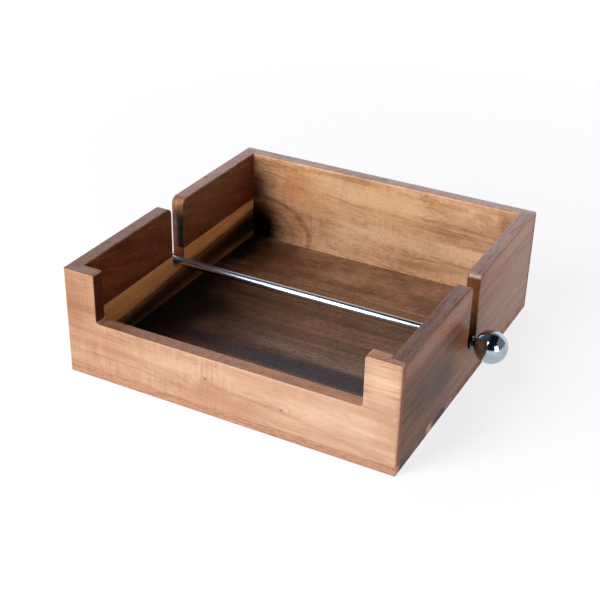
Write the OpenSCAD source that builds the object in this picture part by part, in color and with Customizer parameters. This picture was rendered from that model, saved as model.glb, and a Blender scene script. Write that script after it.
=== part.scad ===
// Luncheon napkin holder: a shallow square wooden tray, open at the front,
// with a chrome bar that rests across the stack in two open-topped slots.
// Millimetres. X runs to the right, Y to the back, Z up. The tray stands on Z = 0
// and is centred on X and Y.

/* [Tray] */
// Outside width of the tray, left to right
tray_w = 190; // [150:1:260]
// Outside depth of the tray, front to back
tray_d = 190; // [150:1:260]
// Overall height of the tray
tray_h = 62; // [48:1:90]
// Thickness of the four wall boards
wall_t = 8; // [6:0.5:12]
// Thickness of the base panel that lies under the walls
base_t = 5.5; // [4:0.5:10]
// Thickness of the lip that the front and rear boards carry over the ends of the side boards
lip_t = 4; // [2:0.5:5]
// Radius of the round-over on every edge that the hand can reach
ease_r = 0.8; // [0.4:0.1:1]
// Radius of the tray's upright outer corners
corner_r = 1.6; // [1:0.1:2]

/* [Front notch] */
// Width of the post that stands at each side of the front notch
post_w = 19; // [14:0.5:30]
// Height of the sill, from the table to the bottom of the front notch
sill_h = 34; // [24:0.5:42]
// Radius in the lower corners of the front notch
notch_corner_r = 1.6; // [1:0.1:6]
// Radius where the front notch opens at the rim
notch_mouth_r = 1.5; // [1.2:0.1:6]

/* [Bar slots] */
// Width of each slot
slot_w = 11.6; // [9:0.1:14]
// Radius where each slot opens at the rim
slot_mouth_r = 4.5; // [2:0.1:8]

/* [Left wall and base staves] */
// Height of the glue line in the left wall, from the table
glue_line_h = 31.2; // [29:0.1:42]
// Depth of the base's rear stave
base_rear_stave_d = 51.5; // [30:0.5:60]
// Depth of the base's front stave
base_front_stave_d = 45; // [30:0.5:60]

/* [Bar] */
// Diameter of the rod
rod_d = 5; // [4.8:0.1:6]
// Height of the rod's axis above the table
bar_h = 25.3; // [22:0.1:27]
// Diameter of the turned-down ends that carry the bushes and the balls
spigot_d = 4; // [3:0.1:4.2]
// Diameter of the balls
ball_d = 18; // [14:0.5:24]
// Diameter of the neck on each ball
neck_d = 5; // [4.8:0.1:5.8]
// Length of the neck between a bush and the ball
neck_l = 1.65; // [1.2:0.05:4]
// Depth of the hole in each ball, from the ball's near side
ball_bore_l = 7; // [4:0.5:10]
// How far the neck flares out where it runs into the ball
flare_r = 0.6; // [0.3:0.1:1]

/* [Bushes] */
// Outside diameter of the bushes that ride in the slots
bush_d = 6.4; // [6.2:0.1:8]
// Length of each bush
bush_l = 2.9; // [2:0.1:6]
// How far each bush stands out of the wall
bush_proud = 0.3; // [0.1:0.1:1]
// Chamfer on the bush's rims
bush_chamfer = 0.35; // [0.1:0.05:0.5]

/* [Clearances] */
// Gap between a bush and the bottom of its slot
seat_gap = 0.3; // [0.2:0.05:0.5]
// Radial gap between a bush and the spigot that turns in it
spin_gap = 0.05; // [0.02:0.01:0.1]
// Gap at each end of a bush
end_gap = 0.1; // [0.05:0.05:0.3]
// Radial gap between a spigot and the hole in its ball
seat_fit_gap = 0.03; // [0.01:0.01:0.08]
// Space left at the bottom of the hole in a ball
bore_end_gap = 0.5; // [0.2:0.1:1]

/* [Hidden] */
$fn = 64;

// How far a cutting shape runs past the faces that it cuts.
overrun = 1;

// Outer faces of the tray.
side_x = tray_w / 2;
end_y = tray_d / 2;
// Inner faces of the walls.
inner_x = side_x - wall_t;
inner_y = end_y - wall_t;
// Seam between a lip and the end of a side board.
lip_y = end_y - lip_t;

// Half the width of the front notch.
notch_half = side_x - post_w;

// Half the width of a slot, and the lowest point of its round bottom.
slot_half = slot_w / 2;
slot_bottom = bar_h - bush_d / 2 - seat_gap;

// Glue lines of the base panel.
base_rear_y = end_y - base_rear_stave_d;
base_front_y = base_front_stave_d - end_y;

// Stations along the bar, from the middle out to one end.
bush_end = side_x + bush_proud;
bush_start = bush_end - bush_l;
shoulder_x = bush_start - end_gap;
neck_start = bush_end + end_gap;
ball_r = ball_d / 2;
neck_r = neck_d / 2;
// The sphere meets the neck at the neck's end, so its centre lies half a chord beyond.
ball_x = neck_start + neck_l + sqrt(ball_r * ball_r - neck_r * neck_r);
// The flare rises at 45 degrees from the neck and meets the sphere at this radius.
flare_end_r = neck_r + flare_r;
flare_start = ball_x - sqrt(ball_r * ball_r - flare_end_r * flare_end_r) - flare_r;
spigot_end = ball_x - ball_r + ball_bore_l;
bore_end = spigot_end + bore_end_gap;

// Finish colours.
sapwood = "#d9a878";
golden_wood = "#b8814d";
dark_wood = "#6b4028";
tan_wood = "#9c6b40";
lower_wood = "#5f3d2b";
grey_wood = "#8a6a58";
base_wood = "#7b5b43";
base_dark_wood = "#5d4739";
chrome = "#c9ced3";

// What a round-over takes away from a square edge, with the edge at the origin
// and the board lying towards +X and +Y.
module edge_waste(r) {
  difference() {
    translate([-overrun, -overrun]) square(r + overrun);
    translate([r, r]) circle(r);
  }
}

// Round-over along a straight edge that rises from the origin.
module straight_waste(length, r) {
  linear_extrude(length) edge_waste(r);
}

// Round-over that follows an inside curve: the board lies outside the radius.
module inside_curve_waste(radius, r, angle) {
  rotate_extrude(angle = angle) translate([radius, 0]) intersection() {
    edge_waste(r);
    translate([-radius, -overrun]) square([radius + r, r + overrun]);
  }
}

// Round-over that follows an outside curve: the board lies within the radius.
module outside_curve_waste(radius, r, angle) {
  rotate_extrude(angle = angle) translate([radius, 0]) mirror([1, 0]) edge_waste(r);
}

// The part of a square corner that a rounded corner leaves out.
module corner_fill(r) {
  difference() {
    square(r);
    translate([r, r]) circle(r);
  }
}

// Outline of an opening cut down from the rim, seen square on. Its lower corners are
// rounded inwards and its mouth flares outwards. half is half its width, low its
// lowest point.
module opening_outline(half, low, low_r, mouth_r) {
  difference() {
    translate([-half, low]) square([2 * half, tray_h - low + overrun]);
    for (side = [0, 1])
      mirror([side, 0]) translate([-half, low]) corner_fill(low_r);
  }
  for (side = [0, 1])
    mirror([side, 0]) translate([half, tray_h]) mirror([0, 1]) corner_fill(mouth_r);
  translate([-half - mouth_r, tray_h]) square([2 * (half + mouth_r), overrun]);
}

// Round-over that runs round the same opening on the face at Y = 0: in along the rim,
// over the mouth, down the side and along the bottom to the middle, on both sides.
// reach is how far the round-over runs out along the rim from the middle.
module opening_edge(half, low, low_r, mouth_r, reach) {
  for (side = [0, 1]) mirror([side, 0, 0]) {
    // Rim
    translate([half + mouth_r, 0, tray_h]) rotate([0, 90, 0])
      straight_waste(reach - half - mouth_r, ease_r);
    // Mouth
    translate([half + mouth_r, 0, tray_h - mouth_r]) rotate([-90, 0, 0]) rotate([0, 0, 180])
      outside_curve_waste(mouth_r, ease_r, 90);
    // Side
    translate([half, 0, low + low_r]) straight_waste(tray_h - mouth_r - low - low_r, ease_r);
    // Lower corner
    translate([half - low_r, 0, low + low_r]) rotate([-90, 0, 0])
      inside_curve_waste(low_r, ease_r, 90);
    // Bottom, where it has a flat stretch
    if (half > low_r)
      translate([0, 0, low]) rotate([0, 90, 0]) straight_waste(half - low_r, ease_r);
  }
}

// Everything that one opening takes out of a wall board whose outer face is at Y = 0
// and whose inner face is at Y = wall_t. The rim's round-over runs past the board's end
// outside, and stops at the adjoining board inside.
module opening_waste(half, low, low_r, mouth_r, reach_out, reach_in) {
  translate([0, -overrun, 0]) mirror([0, 1, 0]) rotate([90, 0, 0])
    linear_extrude(wall_t + 2 * overrun) opening_outline(half, low, low_r, mouth_r);
  opening_edge(half, low, low_r, mouth_r, reach_out + overrun);
  translate([0, wall_t, 0]) mirror([0, 1, 0])
    opening_edge(half, low, low_r, mouth_r, reach_in);
}

// Front or rear board before its opening, outer face at Y = 0. Rabbets at both ends
// leave the lips that cover the side boards' ends.
module end_board() {
  difference() {
    translate([-side_x, 0, base_t]) cube([tray_w, wall_t, tray_h - base_t]);
    for (side = [0, 1]) mirror([side, 0, 0]) {
      translate([inner_x, lip_t, base_t - overrun])
        cube([wall_t + overrun, wall_t, tray_h + 2 * overrun]);
      // Upright outer corner
      translate([side_x, 0, base_t - overrun]) mirror([1, 0, 0])
        straight_waste(tray_h + overrun, corner_r);
      // Top edge of the lip's end
      translate([side_x, -overrun, tray_h]) rotate([-90, 0, 0]) mirror([1, 0, 0])
        straight_waste(wall_t + overrun, ease_r);
    }
  }
}

// Right wall with its slot, outer face at X = side_x.
module side_wall() {
  translate([side_x, 0, 0]) rotate([0, 0, 90]) difference() {
    translate([-lip_y, 0, base_t]) cube([2 * lip_y, wall_t, tray_h - base_t]);
    opening_waste(slot_half, slot_bottom, slot_half, slot_mouth_r, lip_y, inner_y);
  }
}

// The stretch of the left wall between two heights and two depths.
module left_wall_stave(low, high, front, rear) {
  intersection() {
    mirror([1, 0, 0]) side_wall();
    translate([-side_x, front, low]) cube([wall_t, rear - front, high - low]);
  }
}

// The base panel's full outline, with round corners and its lower edge eased.
module base_panel() {
  difference() {
    translate([-side_x, -end_y, 0]) cube([tray_w, tray_d, base_t]);
    for (left = [0, 1]) mirror([left, 0, 0]) {
      for (rear = [0, 1]) mirror([0, rear, 0])
        translate([side_x, -end_y, -overrun]) mirror([1, 0, 0])
          straight_waste(base_t + 2 * overrun, corner_r);
      translate([side_x, end_y + overrun, 0]) rotate([90, 0, 0]) mirror([1, 0, 0])
        straight_waste(tray_d + 2 * overrun, ease_r);
    }
    for (rear = [0, 1]) mirror([0, rear, 0])
      translate([-side_x - overrun, -end_y, 0]) rotate([90, 0, 90])
        straight_waste(tray_w + 2 * overrun, ease_r);
  }
}

// The stretch of the base panel between two depths.
module base_stave(front, rear) {
  intersection() {
    base_panel();
    translate([-side_x, front, 0]) cube([tray_w, rear - front, base_t]);
  }
}

module front_board() {
  color(sapwood) translate([0, -end_y, 0]) difference() {
    end_board();
    opening_waste(notch_half, sill_h, notch_corner_r, notch_mouth_r, side_x, inner_x);
  }
}

module rear_board() {
  color(golden_wood) mirror([0, 1, 0]) translate([0, -end_y, 0]) difference() {
    end_board();
    for (face = [0, 1])
      translate([-side_x - overrun, face * wall_t, tray_h]) mirror([0, face, 0])
        rotate([0, 90, 0]) straight_waste(tray_w + 2 * overrun, ease_r);
  }
}

module right_board() {
  color(grey_wood) side_wall();
}

module left_upper_front_stave() {
  color(dark_wood) left_wall_stave(glue_line_h, tray_h, -lip_y, 0);
}

module left_upper_rear_stave() {
  color(dark_wood) left_wall_stave(glue_line_h, tray_h, 0, lip_y);
}

module left_lower_stave() {
  color(tan_wood) left_wall_stave(base_t, glue_line_h, -lip_y, lip_y);
}

module base_front_stave() {
  color(lower_wood) base_stave(-end_y, base_front_y);
}

module base_middle_stave() {
  color(base_wood) base_stave(base_front_y, base_rear_y);
}

module base_rear_stave() {
  color(base_dark_wood) base_stave(base_rear_y, end_y);
}

// Turns a profile about the bar's axis: X is the place along the bar, Y the radius.
module turned() {
  translate([0, 0, bar_h]) rotate([0, 90, 0]) rotate_extrude() mirror([1, -1]) children();
}

// Rod with a shoulder and a turned-down spigot at each end.
module rod() {
  color(chrome) turned() union() {
    translate([-shoulder_x, 0]) square([2 * shoulder_x, rod_d / 2]);
    translate([-spigot_end, 0]) square([2 * spigot_end, spigot_d / 2]);
  }
}

// Bush between the rod's shoulder and the ball's neck, right-hand one.
module bush_profile() {
  inside = spigot_d / 2 + spin_gap;
  outside = bush_d / 2;
  polygon([
    [bush_start, inside],
    [bush_end, inside],
    [bush_end, outside - bush_chamfer],
    [bush_end - bush_chamfer, outside],
    [bush_start + bush_chamfer, outside],
    [bush_start, outside - bush_chamfer]
  ]);
}

// Neck of the right-hand ball and the flare at its end. The flare runs on at the same
// angle inside the ball.
module neck_profile() {
  polygon([
    [neck_start, 0],
    [neck_start, neck_r],
    [flare_start, neck_r],
    [flare_start + 2 * flare_r, flare_end_r + flare_r],
    [ball_x, 0]
  ]);
}

module right_bush() {
  color(chrome) turned() bush_profile();
}

module left_bush() {
  mirror([1, 0, 0]) right_bush();
}

// Ball, its neck and the blind hole that the spigot is fixed in.
module right_ball() {
  color(chrome) difference() {
    union() {
      translate([ball_x, 0, bar_h]) sphere(ball_r);
      turned() neck_profile();
    }
    turned() translate([neck_start - overrun, 0])
      square([bore_end - neck_start + overrun, spigot_d / 2 + seat_fit_gap]);
  }
}

module left_ball() {
  mirror([1, 0, 0]) right_ball();
}

front_board();
rear_board();
right_board();
left_upper_front_stave();
left_upper_rear_stave();
left_lower_stave();
base_front_stave();
base_middle_stave();
base_rear_stave();
rod();
left_bush();
right_bush();
left_ball();
right_ball();
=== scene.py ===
import math
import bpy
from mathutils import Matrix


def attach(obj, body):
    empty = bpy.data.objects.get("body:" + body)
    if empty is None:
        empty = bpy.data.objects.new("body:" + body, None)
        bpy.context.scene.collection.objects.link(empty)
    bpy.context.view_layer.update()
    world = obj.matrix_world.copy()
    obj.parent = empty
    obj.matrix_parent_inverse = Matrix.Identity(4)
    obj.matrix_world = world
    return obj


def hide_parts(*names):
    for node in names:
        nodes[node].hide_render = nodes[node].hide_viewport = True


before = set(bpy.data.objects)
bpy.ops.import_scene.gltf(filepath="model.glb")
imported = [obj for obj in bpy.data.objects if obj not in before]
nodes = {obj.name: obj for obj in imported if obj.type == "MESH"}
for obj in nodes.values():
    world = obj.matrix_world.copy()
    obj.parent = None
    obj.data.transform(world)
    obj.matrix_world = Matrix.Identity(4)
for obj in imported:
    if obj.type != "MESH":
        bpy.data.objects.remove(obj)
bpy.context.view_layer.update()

from types import SimpleNamespace

import bpy
from mathutils import Matrix, Vector

# Napkin holder: lacquered hardwood tray with a loose chrome bar.
# Metres, in the frame's own axes: X right, Y back, Z up, the table at Z = 0.

mm = 0.001


def paint(red, green, blue):  # a colour as the eye reads it, 0 to 255, made linear; above 255 brightens
    linear = []
    for part in (red, green, blue):
        share = part / 255
        linear.append(share / 12.92 if share <= 0.04045 else ((share + 0.055) / 1.055) ** 2.4)
    return (*linear, 1.0)


photoView = {
    "target": (0.0, -0.01327, 0.030),
    "distance": 0.6567,
    "turn": 27.30,      # degrees to the right of straight ahead
    "rise": 29.30,      # degrees above the table
    "roll": 1.39,
    "lens": 72.25, "sensor": 36,
    "seesTo": 50,       # metres
}


def towards(turn, rise):  # from the tray to something that stands turned and raised so, in degrees
    turn, rise = math.radians(turn), math.radians(rise)
    return Vector((math.sin(turn) * math.cos(rise), -math.cos(turn) * math.cos(rise), math.sin(rise)))


def deselectAll():
    if bpy.context.object and bpy.context.object.mode != "OBJECT":
        bpy.ops.object.mode_set(mode="OBJECT")
    bpy.ops.object.select_all(action="DESELECT")


def addCamera():
    turn, rise, roll = (math.radians(photoView[angle]) for angle in ("turn", "rise", "roll"))
    deselectAll()
    bpy.ops.object.camera_add()
    camera = bpy.context.object
    camera.name = "photoCamera"
    aim = (Matrix.Rotation(turn, 4, "Z") @ Matrix.Rotation(math.pi / 2 - rise, 4, "X")
           @ Matrix.Rotation(roll, 4, "Z"))
    back = towards(photoView["turn"], photoView["rise"])
    place = Vector(photoView["target"]) + back * photoView["distance"]
    camera.matrix_world = Matrix.Translation(place) @ aim
    camera.data.lens = photoView["lens"]
    camera.data.sensor_width = photoView["sensor"]
    camera.data.clip_end = photoView["seesTo"]
    bpy.context.scene.camera = camera
    print("camera placed")


class Wire:  # one shader socket that Python's operators work on
    def __init__(self, tree, socket=None):
        self.tree = tree
        self.socket = socket

    def node(self, kind, settings, sockets, out=0):  # any node: first its settings, then its sockets
        made = self.tree.nodes.new(kind)
        for name, value in settings.items():
            if name == "stops":
                ramp = made.color_ramp
                while len(ramp.elements) < len(value):
                    ramp.elements.new(0.5)
                for element, (place, colour) in zip(ramp.elements, value):
                    element.position = place
                    element.color = colour
            else:
                setattr(made, name, value)
        for name, value in sockets.items():
            if isinstance(value, Wire):
                self.tree.links.new(value.socket, made.inputs[name])
            else:
                made.inputs[name].default_value = value
        return Wire(self.tree, made.outputs[out])

    def math(self, operation, *others):
        sockets = {place: value for place, value in enumerate((self, *others))}
        return self.node("ShaderNodeMath", {"operation": operation}, sockets)

    def __add__(self, other):
        return self.math("ADD", other)

    def __radd__(self, other):
        return self.math("ADD", other)

    def __sub__(self, other):
        return self.math("SUBTRACT", other)

    def __rsub__(self, other):
        return self.node("ShaderNodeMath", {"operation": "SUBTRACT"}, {0: other, 1: self})

    def __mul__(self, other):
        return self.math("MULTIPLY", other)

    def __rmul__(self, other):
        return self.math("MULTIPLY", other)

    def __truediv__(self, other):
        return self.math("DIVIDE", other)

    def __rtruediv__(self, other):
        return self.node("ShaderNodeMath", {"operation": "DIVIDE"}, {0: other, 1: self})

    def fade(self, low, high):  # 0 below low, 1 above high, smooth between
        return self.node("ShaderNodeMapRange", {"interpolation_type": "SMOOTHSTEP"},
                         {"Value": self, "From Min": low, "From Max": high})

    def over(self, colourA, colourB, mode="MIX"):  # colour A where this value is 0, B where it is 1
        return self.node("ShaderNodeMix", {"data_type": "RGBA", "blend_type": mode},
                         {0: self, 6: colourA, 7: colourB}, 2)

    def noise(self, place, detail=2.0, roughness=0.5):
        return self.node("ShaderNodeTexNoise", {},
                         {"Vector": place, "Scale": 1.0, "Detail": detail, "Roughness": roughness})

    def part(self, axis):  # one number out of a position
        return self.node("ShaderNodeSeparateXYZ", {}, {0: self}, axis)

    def point(self, x, y, z):
        return self.node("ShaderNodeCombineXYZ", {}, {0: x, 1: y, 2: z})


def newMaterial(name):
    material = bpy.data.materials.new(name)
    material.use_nodes = True
    tree = material.node_tree
    shader = tree.nodes["Principled BSDF"]
    return material, shader, Wire(tree)


def connect(wire, socket):
    wire.tree.links.new(wire.socket, socket)


# Glows are what the floor shines with by itself. Reaches are in metres from the tray's middle,
# fades are shares of a direction: up, to the side, or towards the pale sweep behind the tray.
room = {
    "floorSize": 14.0,
    "floorColours": (paint(150, 150, 152), paint(158, 158, 159)), "farPaint": paint(96, 96, 98),
    "nearGlow": paint(226, 226, 227), "farGlow": paint(251, 251, 252), "glowReach": (0.18, 0.90),
    "horizonGlow": paint(226, 228, 231), "horizonReach": (1.5, 6.0),
    "floorRoughness": 0.6, "floorShine": 0.25,
    "airDark": paint(22, 36, 50), "airMiddle": paint(92, 106, 120), "sideFade": (0.05, 0.5),
    "airPale": paint(236, 238, 242), "paleFade": (0.05, 0.15),
    "sweep": (1.28, 1.29, 1.32, 1.0), "sweepDirection": (0.966, 0.259), "sweepFade": (0.50, 0.64),
    "sweepTop": (0.46, 0.66), "sweepTopLoss": 0.7,
    "airStrength": 0.9,
    "aim": (0, 0, 0.03),
    # name: turn and rise in degrees from the front, distance, width, height, brightness on what it faces
    "lights": {
        "keyLight": (-26, 30, 1.25, 0.60, 1.35, 1.08),
        "sideLight": (60, 15, 1.20, 0.55, 0.70, 0.24),
        "greyBoard": (106, 27, 1.30, 1.25, 1.10, 0.07),
    },
}


def addFloor():
    deselectAll()
    bpy.ops.mesh.primitive_plane_add(size=room["floorSize"], location=(0, 0, 0))
    floor = bpy.context.object
    floor.name = "studioFloor"
    material, shader, wire = newMaterial("studioFloorPaint")
    place = wire.node("ShaderNodeTexCoord", {}, {}, "Object")
    low, high = room["floorColours"]
    pale = wire.node("ShaderNodeValToRGB", {"stops": [(0.3, low), (0.7, high)]},
                     {"Fac": wire.noise(place)})
    away = wire.node("ShaderNodeVectorMath", {"operation": "LENGTH"}, {0: place}, 1)
    far = away.fade(*room["glowReach"])
    connect(far.over(pale, room["farPaint"]), shader.inputs["Base Color"])
    glow = far.over(room["nearGlow"], room["farGlow"])
    glow = away.fade(*room["horizonReach"]).over(glow, room["horizonGlow"])
    connect(glow, shader.inputs["Emission Color"])
    shader.inputs["Emission Strength"].default_value = 1.0
    shader.inputs["Roughness"].default_value = room["floorRoughness"]
    shader.inputs["Specular IOR Level"].default_value = room["floorShine"]
    floor.data.materials.append(material)


def addAir():
    world = bpy.data.worlds.new("studioAir")
    world.use_nodes = True
    bpy.context.scene.world = world
    wire = Wire(world.node_tree)
    direction = wire.node("ShaderNodeTexCoord", {}, {}, "Generated")
    side, depth, rise = (direction.part(axis) for axis in "XYZ")
    above = (0 - side).fade(*room["sideFade"]).over(room["airDark"], room["airMiddle"])
    lit = rise.fade(*room["paleFade"]).over(room["airPale"], above)  # pale along the horizon
    back, left = room["sweepDirection"]
    behind = (depth * back - side * left).fade(*room["sweepFade"])
    behind = behind * (1 - rise.fade(*room["sweepTop"]) * room["sweepTopLoss"])
    background = world.node_tree.nodes["Background"]
    connect(behind.over(lit, room["sweep"]), background.inputs["Color"])
    background.inputs["Strength"].default_value = room["airStrength"]


def addLights():
    for name, (turn, rise, far, across, tall, bright) in room["lights"].items():
        away = towards(turn, rise)
        deselectAll()
        bpy.ops.object.light_add(type="AREA", location=Vector(room["aim"]) + away * far)
        light = bpy.context.object
        light.name = name
        light.data.shape = "RECTANGLE"
        light.data.size = across
        light.data.size_y = tall
        light.data.energy = bright * (math.pi * far) ** 2
        light.rotation_euler = (-away).to_track_quat("-Z", "Y").to_euler()
        light.visible_camera = False


def addRoom():
    addFloor()
    addAir()
    addLights()
    bpy.context.scene.view_settings.view_transform = "Standard"
    print("room ready")


# Every board's figure is worked out in its own millimetres: u runs along the grain,
# v across the board's face and w through its thickness. What a board hasn't is left out.
# grain: the axes that u, v and w follow     seed: shifts the whole figure
# tilt: slope of the grain lines     bend: how far they wander
# tones: the wood's four colours, dark to bright
# bands: strength, length, width     ripple: strength, size, from u, to u
# fibre, dash, pore: strengths     mottle: strength, size
# streaks: v at u = 0, half width, slope, from u, to u, colour, strength
# patches: u, v, reach along, reach across, colour, strength
# paintedShadows: the same, as painted shadow, on the tray's inner faces only
# arcs: u, v, radius, half width, stretch along the grain, colour, strength
# knots: u, v, radius, how far the grain bends round it, colour, strength
# drift: from u, to u, the colour that the wood is multiplied by at the first end
# fleck: strength of the larger dark flecks
# comb: strength of the dark lines along the grain, from u and to u of their fading out
# endTone: what the end grain is multiplied by, at the first and the last end
# paintedSlotShadows: from v, to v, from w, to w, what the slot's walls are multiplied by at its foot, as
# painted shadow
# rim: colours of the faces that look up, at the first and the last end, strength: the lacquer's sheen and
# the light on the rims, painted in
# coat: lacquer at the first and the last end     haze: its roughness
# bead: lacquer gathered on the rounded ends

lacquer = {
    "ior": 1.5,
    "under": 0.42, "underShine": 0.12,      # roughness and shine of the wood below the coat
    "fibreRough": 0.2, "mottleRough": 0.15, "endRough": 0.15,
    "endShare": 0.1, "wornAway": 0.15,      # coat left on flat ends, and lost in pores and on arrises
    "fibreDepth": 0.05 * mm, "fibreStrength": 0.3, "dashHeight": 0.6, "poreHeight": 0.5,
    "waveDepth": 0.4 * mm, "waveStrength": 0.25, "waveSize": (14.0, 9.0),
    "poreLength": 3.2, "poreWidth": 0.30,
}

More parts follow.
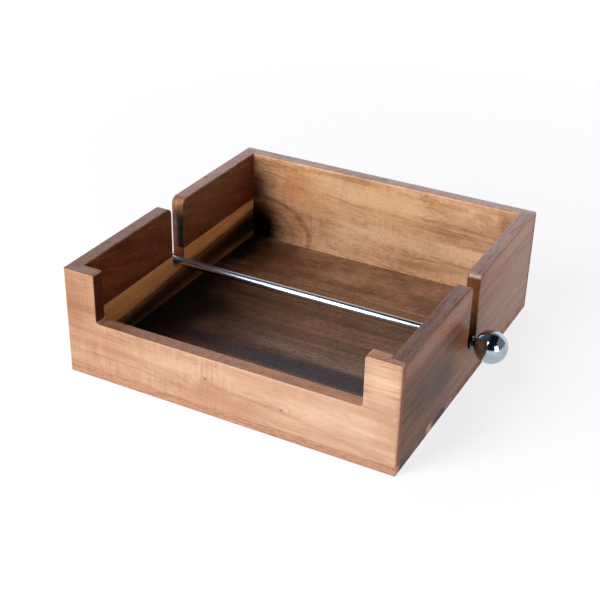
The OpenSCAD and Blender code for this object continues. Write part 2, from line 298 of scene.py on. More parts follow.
boards = {
    "front_board": {
        "grain": "XZY", "seed": 3.0, "drift": (-110, 60, paint(243, 236, 226)), "tilt": -0.035, "bend": 4.0,
        "tones": (paint(146, 95, 67), paint(182, 134, 103), paint(205, 162, 131), paint(227, 191, 164)),
        "bands": (0.26, 80.0, 5.0), "fibre": 0.28, "dash": 0.24, "pore": 0.18,
        "ripple": (0.46, 1.9, -90, 12), "mottle": (0.46, 18.0),
        "streaks": [
            (3.2, 0.5, -0.040, -110, -46, paint(124, 80, 56), 0.60),
            (19.0, 2.2, -0.030, -110, -46, paint(172, 108, 74), 0.42),
            (41.5, 3.2, 0.0, -110, -72, paint(158, 92, 58), 0.60),
            (51.0, 3.2, 0.0, -110, -73, paint(216, 164, 126), 0.50),
            (27.5, 1.0, -0.02, -110, -30, paint(166, 108, 76), 0.42),
            (11.5, 0.8, -0.06, -92, -18, paint(166, 110, 80), 0.34),
            (15.4, 0.6, -0.04, -100, -24, paint(166, 110, 80), 0.32),
            (24.0, 0.6, -0.05, -100, -36, paint(162, 104, 74), 0.36),
            (18.6, 1.2, -0.050, -12, 40, paint(164, 108, 76), 0.52),
            (23.4, 1.8, -0.180, 28, 110, paint(176, 124, 92), 0.48),
            (29.5, 1.3, -0.140, 20, 110, paint(184, 132, 98), 0.40),
            (11.0, 0.8, -0.060, 10, 110, paint(184, 132, 98), 0.40),
            (42.4, 1.2, 0.020, 70, 110, paint(168, 98, 60), 0.80),
            (47.2, 0.7, 0.000, 70, 110, paint(178, 108, 70), 0.75),
            (51.0, 1.2, 0.000, 70, 110, paint(232, 190, 152), 0.60),
            (54.5, 0.8, 0.000, 70, 110, paint(172, 100, 62), 0.80),
            (58.8, 0.7, 0.010, 70, 110, paint(174, 106, 68), 0.70),
            (34.5, 0.8, 0.000, 66, 110, paint(182, 118, 82), 0.55),
        ],
        "patches": [
            (62.0, 22.0, 36.0, 11.0, paint(232, 194, 164), 0.34),
            (-92.0, 46.0, 24.0, 24.0, paint(152, 98, 68), 0.56),
            (-12.4, 27.0, 1.2, 2.6, paint(164, 112, 82), 0.36),
            (-8.6, 17.0, 1.3, 3.0, paint(160, 108, 78), 0.42),
            (-13.6, 13.0, 1.1, 2.6, paint(168, 116, 86), 0.34),
            (-7.0, 11.0, 1.1, 2.6, paint(168, 116, 86), 0.34),
            (8.0, 28.0, 24.0, 6.0, paint(230, 190, 160), 0.22),
            (-36.0, 26.0, 26.0, 8.0, paint(224, 180, 148), 0.36),
            (-84.0, 8.0, 26.0, 5.0, paint(182, 122, 88), 0.36),
            (-5.0, 17.0, 16.0, 8.0, paint(178, 122, 90), 0.55),
            (28.0, 30.0, 26.0, 4.0, paint(192, 138, 104), 0.34),
            (-66.0, 27.0, 16.0, 7.0, paint(178, 120, 88), 0.26),
            (-2.0, 11.0, 38.0, 7.0, paint(180, 122, 90), 0.50),
            (86.0, 50.0, 12.0, 14.0, paint(226, 188, 156), 0.45),
        ],
        "knots": [
            (-10.2, 21.6, 0.75, 6.0, paint(128, 76, 48), 0.80),
            (33.2, 17.4, 0.62, 4.0, paint(128, 78, 50), 0.72),
        ],
        "endTone": (paint(96, 62, 44), paint(176, 132, 96)),
        "rim": (paint(146, 92, 66), paint(204, 136, 92), 0.85),
        "coat": (0.60, 0.75), "haze": 0.2,
    },
    "rear_board": {
        "grain": "XZY", "seed": 11.0, "tilt": -0.06, "bend": 7.0,
        "tones": (paint(156, 102, 62), paint(214, 156, 111), paint(246, 196, 153), paint(255, 221, 184)),
        "bands": (0.28, 42.0, 5.0), "fibre": 0.38, "dash": 0.66, "pore": 0.34, "comb": (0.36, 200, 220),
        "ripple": (0.26, 2.4, -110, 110), "mottle": (0.74, 24.0),
        "streaks": [
            (40.6, 0.9, -0.145, -74, -6, paint(160, 98, 54), 0.66),
            (43.6, 0.6, -0.150, -80, -20, paint(156, 94, 48), 0.60),
            (38.0, 0.6, -0.130, -62, 8, paint(156, 94, 48), 0.60),
            (49.6, 0.8, -0.090, -80, -30, paint(164, 100, 54), 0.55),
            (34.2, 0.6, -0.100, -52, 14, paint(168, 106, 62), 0.45),
            (42.5, 1.1, -0.040, -18, 24, paint(162, 102, 58), 0.62),
            (46.0, 1.3, -0.040, 14, 94, paint(140, 90, 54), 0.76),
            (43.0, 0.7, -0.050, 20, 90, paint(140, 90, 54), 0.72),
            (39.4, 1.0, -0.020, 18, 92, paint(140, 90, 54), 0.74),
            (34.6, 1.4, -0.030, 44, 92, paint(154, 102, 62), 0.50),
            (22.4, 0.9, 0.040, 34, 94, paint(160, 110, 76), 0.38),
            (9.6, 3.2, 0.120, 16, 98, paint(154, 112, 82), 0.50),
            (16.4, 1.0, 0.050, 26, 98, paint(146, 104, 76), 0.50),
            (12.6, 2.0, 0.010, -20, 66, paint(190, 142, 104), 0.38),
            (26.5, 6.0, 0.0, -4, 80, paint(252, 214, 174), 0.42),
            (50.0, 7.0, -0.03, -52, 28, paint(252, 208, 160), 0.42),
        ],
        "patches": [
            (-50.0, 42.0, 30.0, 18.0, paint(240, 168, 108), 0.46),
            (4.0, 44.0, 40.0, 16.0, paint(250, 200, 148), 0.42),
            (62.0, 42.0, 38.0, 14.0, paint(190, 138, 104), 0.40),
            (-92.0, 18.0, 40.0, 36.0, paint(112, 62, 30), 0.70),
            (50.0, 56.5, 10.0, 3.2, paint(164, 108, 70), 0.42),
            (66.0, 54.5, 9.0, 4.0, paint(164, 108, 70), 0.42),
            (80.0, 54.0, 6.0, 8.0, paint(140, 96, 66), 0.50),
            (-20.0, 58.5, 40.0, 2.4, paint(170, 116, 74), 0.45),
        ],
        # painted shadow of the left wall on the back board's inner face, darkest in the low corner
        "paintedShadows": [
            (-96.0, 24.0, 32.0, 50.0, paint(48, 25, 12), 1.0),
            (-86.0, 11.0, 25.0, 20.0, paint(7, 4, 3), 1.25),
        ],
        "arcs": [
            (-86, 8, 27.0, 1.7, 1.36, paint(126, 66, 28), 0.72),
            (-86, 8, 23.0, 2.6, 1.34, paint(232, 166, 106), 0.30),
            (-86, 8, 19.6, 1.6, 1.30, paint(140, 78, 38), 0.34),
        ],
        "endTone": (paint(160, 128, 102), paint(160, 128, 102)),
        "rim": (paint(198, 154, 142), paint(204, 166, 158), 0.85),
        "coat": (0.7, 0.7), "haze": 0.2,
    },
    "right_board": {
        "grain": "YZX", "seed": 23.0, "drift": (-80, 30, paint(204, 206, 226)), "tilt": -0.02, "bend": 4.0,
        "tones": (paint(84, 46, 27), paint(120, 71, 45), paint(147, 93, 61), paint(180, 124, 86)),
        "bands": (0.40, 60.0, 3.6), "fibre": 0.50, "dash": 0.52, "pore": 0.36, "comb": (1.0, -10, 40),
        "ripple": (0.12, 3.0, -110, 110), "mottle": (0.30, 20.0),
        "streaks": [
            (14.6, 2.0, 0.02, -110, -4, paint(164, 104, 70), 0.50),
            (10.6, 0.6, 0.02, -110, 10, paint(72, 46, 38), 0.60),
            (6.8, 0.8, 0.00, -110, 4, paint(72, 46, 38), 0.55),
            (22.6, 0.6, 0.03, -110, -22, paint(62, 40, 34), 0.60),
            (26.4, 1.2, 0.02, -100, -16, paint(142, 94, 68), 0.25),
            (29.6, 0.7, 0.02, -104, -28, paint(60, 40, 34), 0.65),
            (34.0, 0.9, 0.01, -96, -18, paint(64, 42, 36), 0.55),
            (37.4, 1.0, 0.02, -104, -30, paint(140, 92, 66), 0.28),
            (41.0, 0.6, 0.02, -104, -12, paint(62, 40, 34), 0.60),
            (46.6, 0.8, 0.01, -98, -8, paint(70, 44, 36), 0.50),
            (51.6, 0.6, 0.02, -104, -14, paint(84, 52, 40), 0.50),
            (18.6, 0.7, 0.02, -96, -10, paint(78, 50, 40), 0.60),
            (8.2, 1.2, 0.00, 16, 110, paint(80, 52, 44), 0.60),
            (56.0, 5.0, 0.0, -110, 0, paint(176, 116, 84), 0.60),
        ],
        "patches": [
            (-56.0, 31.0, 50.0, 16.0, paint(70, 45, 36), 0.52),
            (-58.0, 56.0, 48.0, 9.0, paint(190, 132, 98), 0.78),
            # painted light: the warm glow that the chrome ball throws on the wall beside the slot
            (-14.0, 31.0, 20.0, 9.0, paint(160, 96, 50), 0.62),
            (-38.0, 25.0, 24.0, 13.0, paint(76, 42, 26), 0.62),
            (60.0, 57.0, 54.0, 8.0, paint(176, 120, 92), 0.50),
            (60.0, 30.0, 40.0, 22.0, paint(160, 108, 82), 0.35),
        ],
        "endTone": (paint(214, 206, 176), paint(214, 206, 176)),
        # painted shadow darkening the slot's walls towards their foot
        "paintedSlotShadows": [(24, 50, 0, 1, paint(104, 92, 84))],
        "rim": (paint(142, 108, 96), paint(200, 164, 156), 0.85),
        "coat": (0.0, 0.32), "haze": 0.16,
    },
    "left_upper_front_stave": {
        "grain": "YZX", "seed": 31.0, "tilt": -0.22, "bend": 4.0,
        "tones": (paint(54, 24, 10), paint(86, 40, 17), paint(114, 57, 26), paint(146, 82, 40)),
        "bands": (0.34, 60.0, 5.0), "fibre": 0.46, "dash": 0.60, "pore": 0.40,
        "ripple": (0.16, 3.0, -110, 110), "mottle": (0.40, 18.0),
        "streaks": [(30.0, 4.0, -0.20, -78, -30, paint(132, 76, 38), 0.45)],
        # lightens the slot's end faces far above the wood: painted light on the slot's mouth; the painted
        # shadows below darken its foot
        "endTone": (paint(384, 486, 660), paint(384, 486, 660)),
        "paintedSlotShadows": [
            (50, 60, -110, -100, paint(160, 150, 172)),
            (46, 60, -93.0, -90.0, paint(56, 34, 24)),
        ],
        "rim": (paint(152, 98, 78), paint(166, 110, 90), 0.85),
        "coat": (0.55, 0.75), "bead": 0.0, "haze": 0.2,
    },
    "left_lower_stave": {
        "grain": "YZX", "seed": 47.0, "tilt": 0.02, "bend": 2.0,
        "tones": (paint(178, 110, 58), paint(214, 142, 82), paint(236, 166, 104), paint(250, 192, 132)),
        "bands": (0.26, 90.0, 4.0), "fibre": 0.34, "dash": 0.36, "pore": 0.30,
        "ripple": (0.08, 3.0, -110, 110), "mottle": (0.26, 22.0),
        "streaks": [
            (12.0, 9.6, 0.050, -110, 110, paint(92, 52, 34), 0.98),
            (18.6, 1.4, 0.055, -110, 110, paint(48, 27, 19), 0.75),
            (14.6, 1.2, 0.045, -110, 110, paint(40, 22, 16), 0.80),
            (11.8, 2.4, 0.035, -110, 110, paint(12, 7, 6), 0.97),
            (8.8, 1.2, 0.020, -110, 110, paint(24, 13, 10), 0.80),
            (6.6, 2.2, 0.000, -110, 110, paint(92, 54, 36), 0.85),
        ],
        # painted shade in the low back corner beside the rear board
        "patches": [(84.0, 13.0, 60.0, 9.0, paint(26, 16, 12), 0.80)],
        "endTone": (paint(132, 108, 96), paint(132, 108, 96)),
        "rim": (paint(170, 130, 104), paint(170, 130, 104), 0.3),
        "coat": (0.7, 0.7), "haze": 0.2,
    },
    "base_front_stave": {
        "grain": "XYZ", "seed": 53.0, "tilt": 0.0, "bend": 4.0,
        "tones": (paint(60, 44, 42), paint(84, 64, 60), paint(108, 84, 76), paint(136, 106, 92)),
        "bands": (0.40, 140.0, 7.0), "fibre": 0.30, "dash": 0.36, "pore": 0.45,
        "ripple": (0.60, 1.5, -110, 110), "mottle": (0.30, 20.0),
        "streaks": [
            (-94.5, 4.6, 0.0, -140, 110, paint(190, 138, 106), 0.94),
            (-54.0, 4.3, 0.0, 60, 140, paint(206, 158, 130), 0.9),
        ],
        "endTone": (paint(190, 170, 176), paint(255, 240, 244)), "coat": (0.4, 0.4), "haze": 0.3,
    },
    "base_middle_stave": {
        "grain": "XYZ", "seed": 61.0, "fleck": 0.75, "tilt": 0.0, "bend": 5.0,
        "tones": (paint(78, 50, 36), paint(114, 78, 58), paint(146, 106, 82), paint(176, 134, 106)),
        "bands": (0.50, 90.0, 4.5), "fibre": 0.36, "dash": 0.42, "pore": 0.70,
        "ripple": (0.08, 4.0, -110, 110), "mottle": (0.36, 24.0),
        "streaks": [
            # the first three: painted shadow of the front board as a blue-grey band, with paler lines of
            # painted light along its edges
            (-40.0, 9.5, 0.00, -80, 120, paint(58, 56, 68), 0.90),
            (-25.4, 4.6, -0.055, -38, 120, paint(160, 138, 132), 0.55),
            (-49.0, 1.4, 0.00, -70, 120, paint(136, 114, 114), 0.50),
            (40.0, 4.5, 0.00, -110, 110, paint(176, 126, 88), 0.55),
            (-10.0, 2.5, -0.05, -60, 110, paint(84, 58, 46), 0.45),
            (14.0, 1.6, -0.03, -70, 110, paint(92, 62, 48), 0.40),
        ],
        "patches": [
            # the first two: painted shade, darker towards the left wall, on every face
            (-34.0, -6.0, 42.0, 60.0, paint(92, 54, 30), 0.60),
            (-100.0, -10.0, 60.0, 60.0, paint(62, 40, 27), 0.70),
            (-56.0, -47.0, 34.0, 7.0, paint(124, 80, 52), 0.70),
        ],
        # painted shadow beside the left wall on the tray's floor
        "paintedShadows": [(-104.0, -16.0, 84.0, 88.0, paint(11, 8, 6), 1.35)],
        "endTone": (paint(205, 186, 176), paint(248, 234, 228)), "coat": (0.06, 0.40), "haze": 0.3,
    },
    "base_rear_stave": {
        "grain": "XYZ", "seed": 71.0, "fleck": 0.40, "tilt": 0.12, "bend": 8.0,
        "tones": (paint(98, 64, 44), paint(142, 101, 75), paint(172, 130, 102), paint(202, 162, 132)),
        "bands": (0.26, 40.0, 7.0), "fibre": 0.28, "dash": 0.40, "pore": 0.50,
        "ripple": (0.20, 4.0, -110, 110), "mottle": (1.05, 12.0),
        "streaks": [(46.4, 1.2, 0.0, -110, 110, paint(130, 92, 68), 0.4)],
        "patches": [
            # the first two: painted shade, darker towards the left wall, on every face
            (-56.0, 64.0, 36.0, 40.0, paint(104, 60, 34), 0.70),
            (-100.0, 66.0, 44.0, 60.0, paint(62, 40, 27), 0.70),
            (4.0, 53.0, 14.0, 9.0, paint(96, 66, 46), 0.60),
            (46.0, 58.0, 18.0, 10.0, paint(112, 80, 58), 0.50),
            (-20.0, 54.0, 22.0, 8.0, paint(104, 70, 48), 0.50),
        ],
        # painted shadow beside the left wall at the back of the tray's floor
        "paintedShadows": [(-104.0, 64.0, 52.0, 62.0, paint(16, 10, 8), 1.25)],
        "endTone": (paint(205, 186, 176), paint(248, 234, 228)), "coat": (0.06, 0.40), "haze": 0.3,
    },
}
boards["left_upper_rear_stave"] = dict(
    boards["left_upper_front_stave"], seed=37.0, streaks=[], coat=(0.75, 0.75),
    rim=(paint(184, 124, 104), paint(194, 132, 112), 0.85))


# What all the boards share. A size is along and across the grain in millimetres, or along it,
# across it and through the board. A detail is a noise's detail and roughness, a fade its two ends.
timber = {
    "ends": (-96, 96),                                      # the first and the last end of a board
    "seedStep": 0.37,
    "wanderSize": (95.0, 40.0),                             # the grain lines wander slowly
    "flutterSize": (26.0, 9.0), "flutter": 1.4,             # and have short waves
    "bandDetail": (6.0, 0.62),
    "fibreSize": (20.0, 0.75), "fibreDetail": (4.0, 0.66), "fibreShare": 1.4,
    "dashSize": (4.2, 0.90), "dashDetail": (3.0, 0.64), "dashShare": 1.2,
    "mottleStretch": 1.6, "mottleDetail": (4.0, 0.6),
    "toneStops": (0.12, 0.38, 0.60, 0.88),
    "rippleAcross": (15.0, 15.0), "rippleStart": 12, "rippleStop": 14,
    "bunchSize": (16.0, 12.0, 20.0), "bunchFade": (0.36, 0.62),
    "swaySize": (24.0, 7.0),
    "ragDashes": 0.7, "ragFade": (0.28, 0.62), "ragDepth": 0.5,
    "breakSize": (10.0, 2.4, 20.0), "breakShift": 1.7, "breakFade": (0.38, 0.60), "breakDepth": 0.6,
    "insideWalls": (87.4, 88.4), "insideFloor": (3.6, 5.0),
    "combDashes": 0.8, "combFade": (0.0, 0.26), "combPaint": paint(150, 138, 134),
    "slotEdge": (8, 12),
    "rimFade": (0.2, 0.7), "rimLines": paint(178, 166, 162),
    "poreFade": (0.58, 0.70), "porePaint": paint(118, 88, 72), "openRims": 0.25,
    "fleckSize": (2.4, 1.1, 1.1), "fleckFade": (0.58, 0.68), "fleckPaint": paint(112, 92, 96),
    "rubbedSize": (9.0, 5.0), "rubbedFade": (0.35, 0.65),
    "rubbed": 0.30, "rubbedPaint": paint(214, 160, 116),
}

faceFades = {
    "end": (0.55, 0.95), "flatEnd": (0.90, 0.99), "bead": (0.25, 0.60),     # facing along the grain
    "top": (0.55, 0.95),                                                    # facing up
    "arris": (0.02, 0.22),                                                  # facing along no single axis
}

streakShape = {
    "wander": 3.0, "sway": 2.4, "fibre": 0.5,               # how far a streak follows each of them
    "solid": 0.35, "edge": 1.15,                            # shares of its half width
    "softEnd": 9, "raggedBelow": 5, "brokenBelow": 1.8,     # mm, the last two are half widths
}

patchShape = {
    "wander": 8.0, "fibre": 0.35, "mottle": 0.5, "fade": (0.25, 1.05),
    "arcWander": 12.0, "arcDash": 2.4, "arcSolid": 0.3, "arcEdge": 1.4,
}

knotShape = {
    "flowStretch": 0.6, "flow": 0.9, "flowCore": 0.35,      # how the grain lines part round a knot
    "stretch": 0.8, "eye": (0.3, 1.5), "halo": (1.0, 4.0), "haloShare": 0.16,
}


def distance(along, across):
    return (along * along + across * across).math("SQRT")


def readGrain(wire, look):  # a board's own millimetres, and the noises that all its marks are made of
    texture = wire.node("ShaderNodeTexCoord", {}, {}, "Object")
    x, y, z = (texture.part(axis) / mm for axis in "XYZ")
    u, v, w = (texture.part(axis) / mm for axis in look["grain"])
    seed = look["seed"]

    def stretched(size, across, detail=2.0, roughness=0.55):  # drawn out along the grain, around 0
        length, width = size
        spot = wire.point(u / length + seed, across / width, w / width + seed * timber["seedStep"])
        return wire.noise(spot, detail, roughness) - 0.5

    def cells(size, across, shift=seed, detail=1.0):  # 0 to 1
        length, width, depth = size
        return wire.noise(wire.point(u / length + shift, across / width, w / depth), detail)

    wander = stretched(timber["wanderSize"], v)
    flutter = stretched(timber["flutterSize"], v) * timber["flutter"]
    lines = v - u * look["tilt"] + wander * look["bend"] + flutter
    for knotU, knotV, _, reach, _, _ in look.get("knots", []):
        alongGap = (u - knotU) * knotShape["flowStretch"]
        acrossGap = v - knotV
        far = alongGap * alongGap + acrossGap * acrossGap + reach * reach * knotShape["flowCore"]
        lines = lines - acrossGap * (reach * reach * knotShape["flow"]) / far

    fibres = stretched(timber["fibreSize"], lines, *timber["fibreDetail"])
    dashes = stretched(timber["dashSize"], lines, *timber["dashDetail"])
    mottleSize = look["mottle"][1]
    mottle = stretched((mottleSize * timber["mottleStretch"], mottleSize), v, *timber["mottleDetail"])
    ragged = (fibres + dashes * timber["ragDashes"] + 0.5).fade(*timber["ragFade"])
    broken = cells(timber["breakSize"], v, seed * timber["breakShift"]).fade(*timber["breakFade"])
    return SimpleNamespace(
        x=x, y=y, z=z, u=u, v=v, w=w, stretched=stretched, cells=cells,
        wander=wander, lines=lines, fibres=fibres, dashes=dashes, mottle=mottle,
        sway=stretched(timber["swaySize"], v),
        rag=ragged * timber["ragDepth"] + (1 - timber["ragDepth"]),
        breaks=broken * timber["breakDepth"] + (1 - timber["breakDepth"]))


def readFaces(wire, look):  # which faces look along the grain, up, or along no single axis
    facing = wire.node("ShaderNodeTexCoord", {}, {}, "Normal")
    along, across, through = (facing.part(axis).math("ABSOLUTE") for axis in look["grain"])
    steepest = along.math("MAXIMUM", across).math("MAXIMUM", through)
    flatEnd = along.fade(*faceFades["flatEnd"])
    return SimpleNamespace(
        end=along.fade(*faceFades["end"]), flatEnd=flatEnd,
        bead=along.fade(*faceFades["bead"]) * (1 - flatEnd),
        top=facing.part("Z").fade(*faceFades["top"]),
        arris=(1 - steepest).fade(*faceFades["arris"]))


def figureTone(grain, look):  # 0 for the darkest wood, 1 for the brightest
    strength, length, width = look["bands"]
    bands = grain.stretched((length, width), grain.lines, *timber["bandDetail"]) * (strength * 2)
    fine = (grain.fibres * (look["fibre"] * timber["fibreShare"])
            + grain.dashes * (look["dash"] * timber["dashShare"]))
    strength, size, start, stop = look["ripple"]
    ripple = grain.cells((size, *timber["rippleAcross"]), grain.v) - 0.5
    zone = (grain.u.fade(start - timber["rippleStart"], start + timber["rippleStart"])
            * (1 - grain.u.fade(stop - timber["rippleStop"], stop + timber["rippleStop"])))
    bunches = grain.cells(timber["bunchSize"], grain.v).fade(*timber["bunchFade"])
    return 0.5 + bands + fine + grain.mottle * look["mottle"][0] + ripple * zone * bunches * strength


def addStreaks(colour, grain, streaks):
    shape = streakShape
    for middle, half, slope, start, stop, streakColour, strength in streaks:
        path = (grain.v - (middle + grain.u * slope) + grain.wander * shape["wander"]
                + grain.sway * shape["sway"] + grain.fibres * (half * shape["fibre"]))
        core = 1 - path.math("ABSOLUTE").fade(half * shape["solid"], half * shape["edge"])
        soft = min(shape["softEnd"], (stop - start) / 4)
        ends = grain.u.fade(start - soft, start + soft) * (1 - grain.u.fade(stop - soft, stop + soft))
        mask = core * ends * strength
        if half < shape["raggedBelow"]:  # a broad band stays whole, a thin one breaks up along the grain
            mask = mask * grain.rag
        if half < shape["brokenBelow"]:  # the thinnest come and go
            mask = mask * grain.breaks
        colour = mask.over(colour, streakColour)
    return colour


def addPatches(colour, grain, patches, zone=None):
    shape = patchShape
    for patchU, patchV, along, across, patchColour, strength in patches:
        alongGap = (grain.u - patchU) / along
        acrossGap = (grain.v - patchV + grain.wander * shape["wander"]) / across
        far = distance(alongGap, acrossGap) + grain.fibres * shape["fibre"] + grain.mottle * shape["mottle"]
        mask = (1 - far.fade(*shape["fade"])) * strength
        if zone:
            mask = mask * zone
        colour = mask.over(colour, patchColour)
    return colour


def addArcs(colour, grain, arcs):
    shape = patchShape
    for arcU, arcV, radius, half, stretch, arcColour, strength in arcs:
        far = (distance((grain.u - arcU) / stretch, grain.v - arcV)
               + grain.wander * shape["arcWander"] + grain.dashes * shape["arcDash"])
        core = 1 - (far - radius).math("ABSOLUTE").fade(half * shape["arcSolid"], half * shape["arcEdge"])
        colour = (core * grain.rag * grain.breaks * strength).over(colour, arcColour)
    return colour


def addKnots(colour, grain, knots):
    for knotU, knotV, radius, _, knotColour, strength in knots:
        far = distance((grain.u - knotU) * knotShape["stretch"], grain.v - knotV) + grain.fibres * radius
        eye, halo = (1 - far.fade(radius * low, radius * high)
                     for low, high in (knotShape["eye"], knotShape["halo"]))
        colour = (eye * strength + halo * (strength * knotShape["haloShare"])).over(colour, knotColour)
    return colour


def addLines(colour, grain, look):  # dark lines along the grain, and the wood's slow change along the board
    if "comb" in look:
        strength, start, stop = look["comb"]
        comb = (grain.fibres + grain.dashes * timber["combDashes"]).fade(*timber["combFade"])
        comb = comb * (1 - grain.u.fade(start, stop)) * strength
        colour = comb.over(colour, timber["combPaint"], "MULTIPLY")
    if "drift" in look:
        start, stop, driftColour = look["drift"]
        colour = (1 - grain.u.fade(start, stop)).over(colour, driftColour, "MULTIPLY")
    return colour


# End grain drinks the lacquer and goes darker, except on the left staves, where the slot's end faces are
# lightened as painted light on its mouth and darkened at its foot as painted shadow. The rims are sawn
# edges with more open pores; their greyer, lighter colour is painted sheen and light.
def addEnds(colour, grain, faces, tone, look):
    lastEnd = grain.u.fade(*timber["ends"])
    colour = faces.end.over(colour, lastEnd.over(*look["endTone"]), "MULTIPLY")
    # painted shadow on the slot's walls towards its foot
    for low, high, near, away, shade in look.get("paintedSlotShadows", []):
        inSlot = faces.end * (1 - grain.u.math("ABSOLUTE").fade(*timber["slotEdge"]))
        foot = inSlot * (1 - grain.v.fade(low, high)) * grain.w.fade(near, away)
        colour = foot.over(colour, shade, "MULTIPLY")
    # the faces that look up: painted sheen and light on the rims
    if "rim" in look:
        first, last, strength = look["rim"]
        lines = 1 - tone.fade(*timber["rimFade"])
        lined = lines.over(lastEnd.over(first, last), timber["rimLines"], "MULTIPLY")
        colour = (faces.top * strength).over(colour, lined)
    return colour


def makeWood(name, look):
    material, shader, wire = newMaterial(name + "Wood")
    grain = readGrain(wire, look)
    faces = readFaces(wire, look)
    tone = figureTone(grain, look)
    colour = wire.node("ShaderNodeValToRGB", {"stops": list(zip(timber["toneStops"], look["tones"]))},
                       {"Fac": tone})
    colour = addStreaks(colour, grain, look.get("streaks", []))
    colour = addPatches(colour, grain, look.get("patches", []))
    # painted shadows, laid on the tray's inner faces only
    if "paintedShadows" in look:
        edge = grain.x.math("ABSOLUTE").math("MAXIMUM", grain.y.math("ABSOLUTE"))
        inside = (1 - edge.fade(*timber["insideWalls"])) * grain.z.fade(*timber["insideFloor"])
        colour = addPatches(colour, grain, look["paintedShadows"], inside)
    colour = addArcs(colour, grain, look.get("arcs", []))
    colour = addKnots(colour, grain, look.get("knots", []))
    colour = addLines(colour, grain, look)
    colour = addEnds(colour, grain, faces, tone, look)

    # open pores: short dark dashes along the grain
    poreWidth = lacquer["poreWidth"]
    pores = grain.cells((lacquer["poreLength"], poreWidth, poreWidth), grain.lines)
    pore = pores.fade(*timber["poreFade"])
    poreShow = faces.top * timber["openRims"] + look["pore"]
    colour = (pore * poreShow).over(colour, timber["porePaint"], "MULTIPLY")
    if "fleck" in look:
        flecks = grain.cells(timber["fleckSize"], grain.v, detail=2.0).fade(*timber["fleckFade"])
        colour = (flecks * look["fleck"]).over(colour, timber["fleckPaint"], "MULTIPLY")

    # rubbed arrises: the rounded edges face along no single axis
    worn = (grain.stretched(timber["rubbedSize"], grain.v) + 0.5).fade(*timber["rubbedFade"])
    rubbed = faces.arris * worn
    colour = (rubbed * timber["rubbed"]).over(colour, timber["rubbedPaint"])
    connect(colour, shader.inputs["Base Color"])

    first, last = look["coat"]
    beadStrength = look.get("bead", 1.0)
    bead = faces.bead * beadStrength  # lacquer gathers on the rounded ends
    dullEnd = faces.flatEnd.math("MAXIMUM", faces.end * (1 - beadStrength))
    coat = grain.u.fade(*timber["ends"]) * (last - first) + first
    coat = coat * (1 - dullEnd * (1 - lacquer["endShare"]))
    connect(coat + bead - (pore + rubbed) * lacquer["wornAway"], shader.inputs["Coat Weight"])
    connect(lacquer["under"] + grain.fibres * lacquer["fibreRough"] + grain.mottle * lacquer["mottleRough"]
            + faces.end * lacquer["endRough"], shader.inputs["Roughness"])
    shader.inputs["IOR"].default_value = lacquer["ior"]
    shader.inputs["Specular IOR Level"].default_value = lacquer["underShine"]
    shader.inputs["Coat Roughness"].default_value = look["haze"]

    waves = wire.node("ShaderNodeBump", {}, {
        "Strength": lacquer["waveStrength"], "Distance": lacquer["waveDepth"],
        "Height": grain.stretched(lacquer["waveSize"], grain.v)})
    relief = grain.fibres + grain.dashes * lacquer["dashHeight"] - pore * lacquer["poreHeight"]
    bump = wire.node("ShaderNodeBump", {}, {
        "Strength": lacquer["fibreStrength"], "Distance": lacquer["fibreDepth"],
        "Height": relief, "Normal": waves})
    connect(bump, shader.inputs["Normal"])
    return material


def finishBoards():
    for name, look in boards.items():
        board = nodes[name]
        material = makeWood(name, look)
        board.data.materials.clear()
        board.data.materials.append(material)
    print("boards finished:", len(boards))


bar = {
    "height": 25.3 * mm,        # its axis above the table
    "rodRadius": 2.5 * mm, "shoulder": 92.3 * mm,
    "spigotRadius": 2.0 * mm, "spigotEnd": 103.69 * mm,
    "edgeBreak": 0.15 * mm, "shoulderSteps": 3, "spigotSteps": 2,
    "sides": 96,                # round the rod, the bushes and the balls
    "smoothBelow": 28,          # degrees between faces
}

bush = {
    "radius": 3.2 * mm, "bore": 2.05 * mm, "start": 92.4 * mm, "end": 95.3 * mm,
    "chamfer": 0.35 * mm, "chamferSteps": 4, "boreBreak": 0.12 * mm, "boreSteps": 2,
}

ball = {
    "radius": 9.0 * mm, "middle": 105.696 * mm, "rings": 64,
    "cut": 97.247 * mm,         # where the ball ends and its neck begins
    # the neck's outline from the ball inwards: x, radius
    "neck": [(97.10, 2.93), (96.94, 2.76), (96.80, 2.62), (96.66, 2.52), (96.50, 2.49),
             (95.48, 2.49), (95.42, 2.46), (95.40, 2.40), (95.40, 2.10), (95.46, 2.03), (104.10, 2.03)],
}

picking = {  # how near an edge or a face has to be to be picked, and points to be merged
    "x": 0.02 * mm, "radius": 0.03 * mm, "cut": 0.01 * mm, "facing": 0.9, "merge": 0.001 * mm,
}


def selectNothing(kind):  # ready for faces, edges or points to be picked
    bpy.ops.object.mode_set(mode="EDIT")
    bpy.ops.mesh.select_mode(type=kind)
    bpy.ops.mesh.select_all(action="DESELECT")
    bpy.ops.object.mode_set(mode="OBJECT")


def startPiece(name):
    piece = bpy.context.object
    piece.name = name
    piece.data.name = name
    bpy.ops.object.transform_apply(location=True, rotation=True, scale=True)
    selectNothing("VERT")
    return piece


def selectEnd(piece, side):  # the flat faces at the right end, 1, or the left, -1
    selectNothing("FACE")
    for face in piece.data.polygons:
        face.select = face.normal.x * side > picking["facing"]
    bpy.ops.object.mode_set(mode="EDIT")


def selectEdges(piece, test):
    selectNothing("EDGE")
    points = piece.data.vertices
    for edge in piece.data.edges:
        edge.select = test(points[edge.vertices[0]].co, points[edge.vertices[1]].co)
    bpy.ops.object.mode_set(mode="EDIT")


def ringAt(x, radius):  # true for an edge that lies on that ring round the bar's axis
    def onRing(point):
        fromAxis = math.hypot(point.y, point.z - bar["height"])
        return abs(point.x - x) < picking["x"] and abs(fromAxis - radius) < picking["radius"]
    return lambda one, other: onRing(one) and onRing(other)


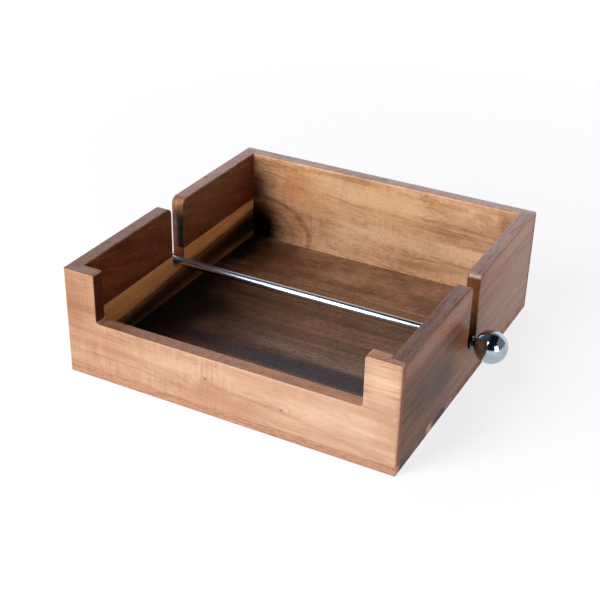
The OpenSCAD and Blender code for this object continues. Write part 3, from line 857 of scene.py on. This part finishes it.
def closePiece(piece, material, body, node):
    bpy.ops.mesh.select_all(action="SELECT")
    bpy.ops.mesh.remove_doubles(threshold=picking["merge"])
    bpy.ops.mesh.normals_make_consistent(inside=False)
    bpy.ops.object.mode_set(mode="OBJECT")
    bpy.ops.object.shade_smooth_by_angle(angle=math.radians(bar["smoothBelow"]))
    piece.data.materials.clear()
    piece.data.materials.append(material)
    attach(piece, body)
    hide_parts(node)


def mirrorCopy(piece, name, body, node):
    deselectAll()
    piece.select_set(True)
    bpy.context.view_layer.objects.active = piece
    bpy.ops.object.duplicate(linked=False)
    copy = bpy.context.object
    copy.name = name
    copy.data.name = name
    bpy.ops.object.mode_set(mode="EDIT")
    bpy.ops.mesh.select_all(action="SELECT")
    bpy.ops.transform.mirror(constraint_axis=(True, False, False), center_override=(0, 0, 0))
    closePiece(copy, piece.data.materials[0], body, node)


def makeRod(material):
    deselectAll()
    bpy.ops.mesh.primitive_cylinder_add(
        vertices=bar["sides"], radius=bar["rodRadius"], depth=2 * bar["shoulder"],
        location=(0, 0, bar["height"]), rotation=(0, math.pi / 2, 0))
    piece = startPiece("barRod")
    for side in (1, -1):
        selectEnd(piece, side)
        bpy.ops.mesh.inset(thickness=bar["rodRadius"] - bar["spigotRadius"], use_even_offset=True)
        bpy.ops.mesh.extrude_region_move(TRANSFORM_OT_translate={
            "value": (side * (bar["spigotEnd"] - bar["shoulder"]), 0, 0)})
    for side in (1, -1):
        selectEdges(piece, ringAt(side * bar["shoulder"], bar["rodRadius"]))
        bpy.ops.mesh.bevel(offset=bar["edgeBreak"], segments=bar["shoulderSteps"], affect="EDGES")
        selectEdges(piece, ringAt(side * bar["spigotEnd"], bar["spigotRadius"]))
        bpy.ops.mesh.bevel(offset=bar["edgeBreak"], segments=bar["spigotSteps"], affect="EDGES")
    closePiece(piece, material, "bar", "rod")


def makeBushes(material):
    deselectAll()
    bpy.ops.mesh.primitive_cylinder_add(
        vertices=bar["sides"], radius=bush["radius"], depth=bush["end"] - bush["start"],
        location=((bush["start"] + bush["end"]) / 2, 0, bar["height"]), rotation=(0, math.pi / 2, 0))
    piece = startPiece("rightBush")
    for side in (1, -1):
        selectEnd(piece, side)
        bpy.ops.mesh.inset(thickness=bush["radius"] - bush["bore"], use_even_offset=True)
        bpy.ops.mesh.delete(type="FACE")
    inner = [ringAt(bush[end], bush["bore"]) for end in ("start", "end")]
    selectEdges(piece, lambda one, other: any(test(one, other) for test in inner))
    bpy.ops.mesh.bridge_edge_loops()
    for end in ("start", "end"):
        selectEdges(piece, ringAt(bush[end], bush["radius"]))
        bpy.ops.mesh.bevel(offset=bush["chamfer"], segments=bush["chamferSteps"], affect="EDGES")
        selectEdges(piece, ringAt(bush[end], bush["bore"]))
        bpy.ops.mesh.bevel(offset=bush["boreBreak"], segments=bush["boreSteps"], affect="EDGES")
    closePiece(piece, material, "bushes", "right_bush")
    mirrorCopy(piece, "leftBush", "bushes", "left_bush")


def makeBalls(material):
    deselectAll()
    centre = (ball["middle"], 0, bar["height"])
    bpy.ops.mesh.primitive_uv_sphere_add(
        segments=bar["sides"], ring_count=ball["rings"], radius=ball["radius"],
        location=centre, rotation=(0, math.pi / 2, 0))
    piece = startPiece("rightBall")
    bpy.ops.object.mode_set(mode="EDIT")
    bpy.ops.mesh.select_all(action="SELECT")
    bpy.ops.mesh.bisect(plane_co=(ball["cut"], 0, bar["height"]), plane_no=(1, 0, 0), clear_inner=True)
    x = ball["cut"]
    radius = math.sqrt(ball["radius"] ** 2 - (ball["middle"] - x) ** 2)
    selectEdges(piece, lambda one, other: max(one.x, other.x) < x + picking["cut"])
    for nextX, nextRadius in ball["neck"]:
        bpy.ops.mesh.extrude_edges_move(TRANSFORM_OT_translate={"value": (nextX * mm - x, 0, 0)})
        share = nextRadius * mm / radius
        bpy.ops.transform.resize(value=(1, share, share), center_override=(nextX * mm, 0, bar["height"]))
        x, radius = nextX * mm, nextRadius * mm
    bpy.ops.mesh.edge_face_add()
    closePiece(piece, material, "bar", "right_ball")
    mirrorCopy(piece, "leftBall", "bar", "left_ball")


# sizes: millimetres along the bar and round it
chrome = {
    "drawnChrome": {"roughness": 0.17, "colours": (paint(190, 196, 205), paint(203, 208, 215))},
    # the bushes: chrome with its colour darkened, a painted dark reflection
    "chromePaintedDark": {"roughness": 0.12, "colours": (paint(34, 40, 48), paint(54, 62, 72))},
    "polishedChrome": {"roughness": 0.045, "colours": (paint(164, 174, 187), paint(178, 188, 200))},
    "hazeSize": (9.0, 6.0, 6.0), "hazeRough": 0.03,
    "lineSize": (0.9, 0.12, 0.12), "lineRough": 0.02, "lineDepth": 0.02 * mm, "lineStrength": 0.04,
    "speckSize": (0.35, 0.35, 0.35), "speckFade": (0.70, 0.80), "speckRough": 0.08, "speckTint": 0.12,
}


def makeChrome(name):
    material, shader, wire = newMaterial(name)
    texture = wire.node("ShaderNodeTexCoord", {}, {}, "Object")
    place = [texture.part(axis) / mm for axis in "XYZ"]

    def noiseOf(size, detail):
        return wire.noise(wire.point(*(part / step for part, step in zip(place, size))), detail)

    haze = noiseOf(chrome["hazeSize"], 2.0)
    drawn = noiseOf(chrome["lineSize"], 2.0)  # polishing lines round the bar
    specks = noiseOf(chrome["speckSize"], 1.0).fade(*chrome["speckFade"])
    dark, bright = chrome[name]["colours"]
    tint = wire.node("ShaderNodeValToRGB", {"stops": [(0.3, dark), (0.7, bright)]}, {"Fac": haze})
    connect((specks * chrome["speckTint"]).over(tint, dark), shader.inputs["Base Color"])
    shader.inputs["Metallic"].default_value = 1.0
    connect(chrome[name]["roughness"] + haze * chrome["hazeRough"] + drawn * chrome["lineRough"]
            + specks * chrome["speckRough"], shader.inputs["Roughness"])
    bump = wire.node("ShaderNodeBump", {}, {
        "Strength": chrome["lineStrength"], "Distance": chrome["lineDepth"], "Height": drawn})
    connect(bump, shader.inputs["Normal"])
    return material


def finishBar():
    makeRod(makeChrome("drawnChrome"))
    makeBushes(makeChrome("chromePaintedDark"))
    makeBalls(makeChrome("polishedChrome"))
    print("bar finished")


addCamera()
addRoom()
finishBoards()
finishBar()
